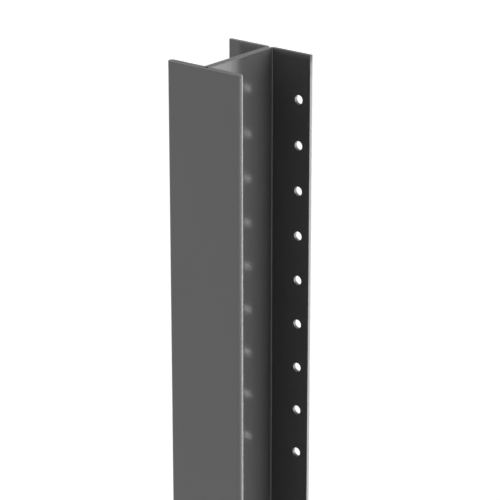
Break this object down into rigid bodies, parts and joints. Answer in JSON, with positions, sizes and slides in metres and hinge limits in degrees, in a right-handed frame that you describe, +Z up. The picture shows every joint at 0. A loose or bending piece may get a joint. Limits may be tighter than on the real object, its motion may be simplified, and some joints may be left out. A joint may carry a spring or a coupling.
{
  "type": "fence post",
  "caption": "Slotted H-section fence post roll-formed from coated sheet steel, with an open channel on each side for a fence panel and rows of screw holes at the top of its rear flange.",
  "frame": {"origin": "middle of the foot: bottom centre of the post's box", "axes": "+Z up the post, -Y towards the folded front flange, +Y towards the rear flange with the screw holes, X across the flanges"},
  "size_m": [0.054, 0.056, 1.8],
  "materials": {
    "coated_steel": "satin anthracite coat over sheet steel"
  },
  "bodies": {
    "root": {"fence_post": "coated_steel"}
  },
  "joints": []
}
